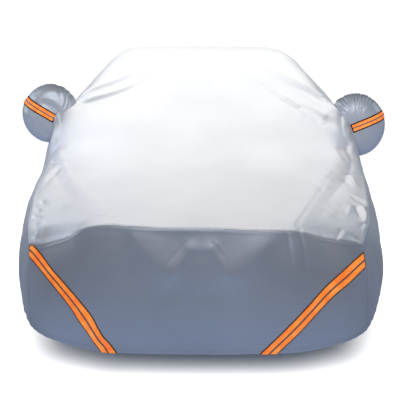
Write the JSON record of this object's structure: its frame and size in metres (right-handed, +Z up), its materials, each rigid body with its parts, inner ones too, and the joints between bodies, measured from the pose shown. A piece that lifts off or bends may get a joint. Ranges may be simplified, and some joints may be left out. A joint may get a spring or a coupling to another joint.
{
  "type": "fitted car cover",
  "caption": "Fitted cloth cover in the shape of a saloon car, with elastic hem, mirror pockets and high-visibility corner strips.",
  "frame": {"origin": "under the middle of the roof, on the inner face of the cloth, where the car holds the cover", "axes": "+Z up, +Y towards the rear of the car, +X towards the right-hand side of the picture, which faces the front; the ground is 1.430 m below the origin"},
  "size_m": [1.998, 4.687, 1.2091],
  "materials": {
    "silver_cloth": "silver coated cloth, satin, slightly metallic",
    "black_edging": "black woven binding, matt",
    "orange_tape": "fluorescent orange woven tape",
    "grey_reflector": "grey retroreflective line"
  },
  "bodies": {
    "root": {"top_panel": "silver_cloth", "front_panel": "silver_cloth", "rear_panel": "silver_cloth", "side_panel_left": "silver_cloth", "side_panel_right": "silver_cloth", "mirror_pocket_left": "silver_cloth", "mirror_pocket_right": "silver_cloth", "strip_front_left_edging": "black_edging", "strip_front_left_tape": "orange_tape", "strip_front_left_reflector": "grey_reflector", "strip_front_right_edging": "black_edging", "strip_front_right_tape": "orange_tape", "strip_front_right_reflector": "grey_reflector", "strip_mirror_left_edging": "black_edging", "strip_mirror_left_tape": "orange_tape", "strip_mirror_left_reflector": "grey_reflector", "strip_mirror_right_edging": "black_edging", "strip_mirror_right_tape": "orange_tape", "strip_mirror_right_reflector": "grey_reflector"}
  },
  "joints": []
}
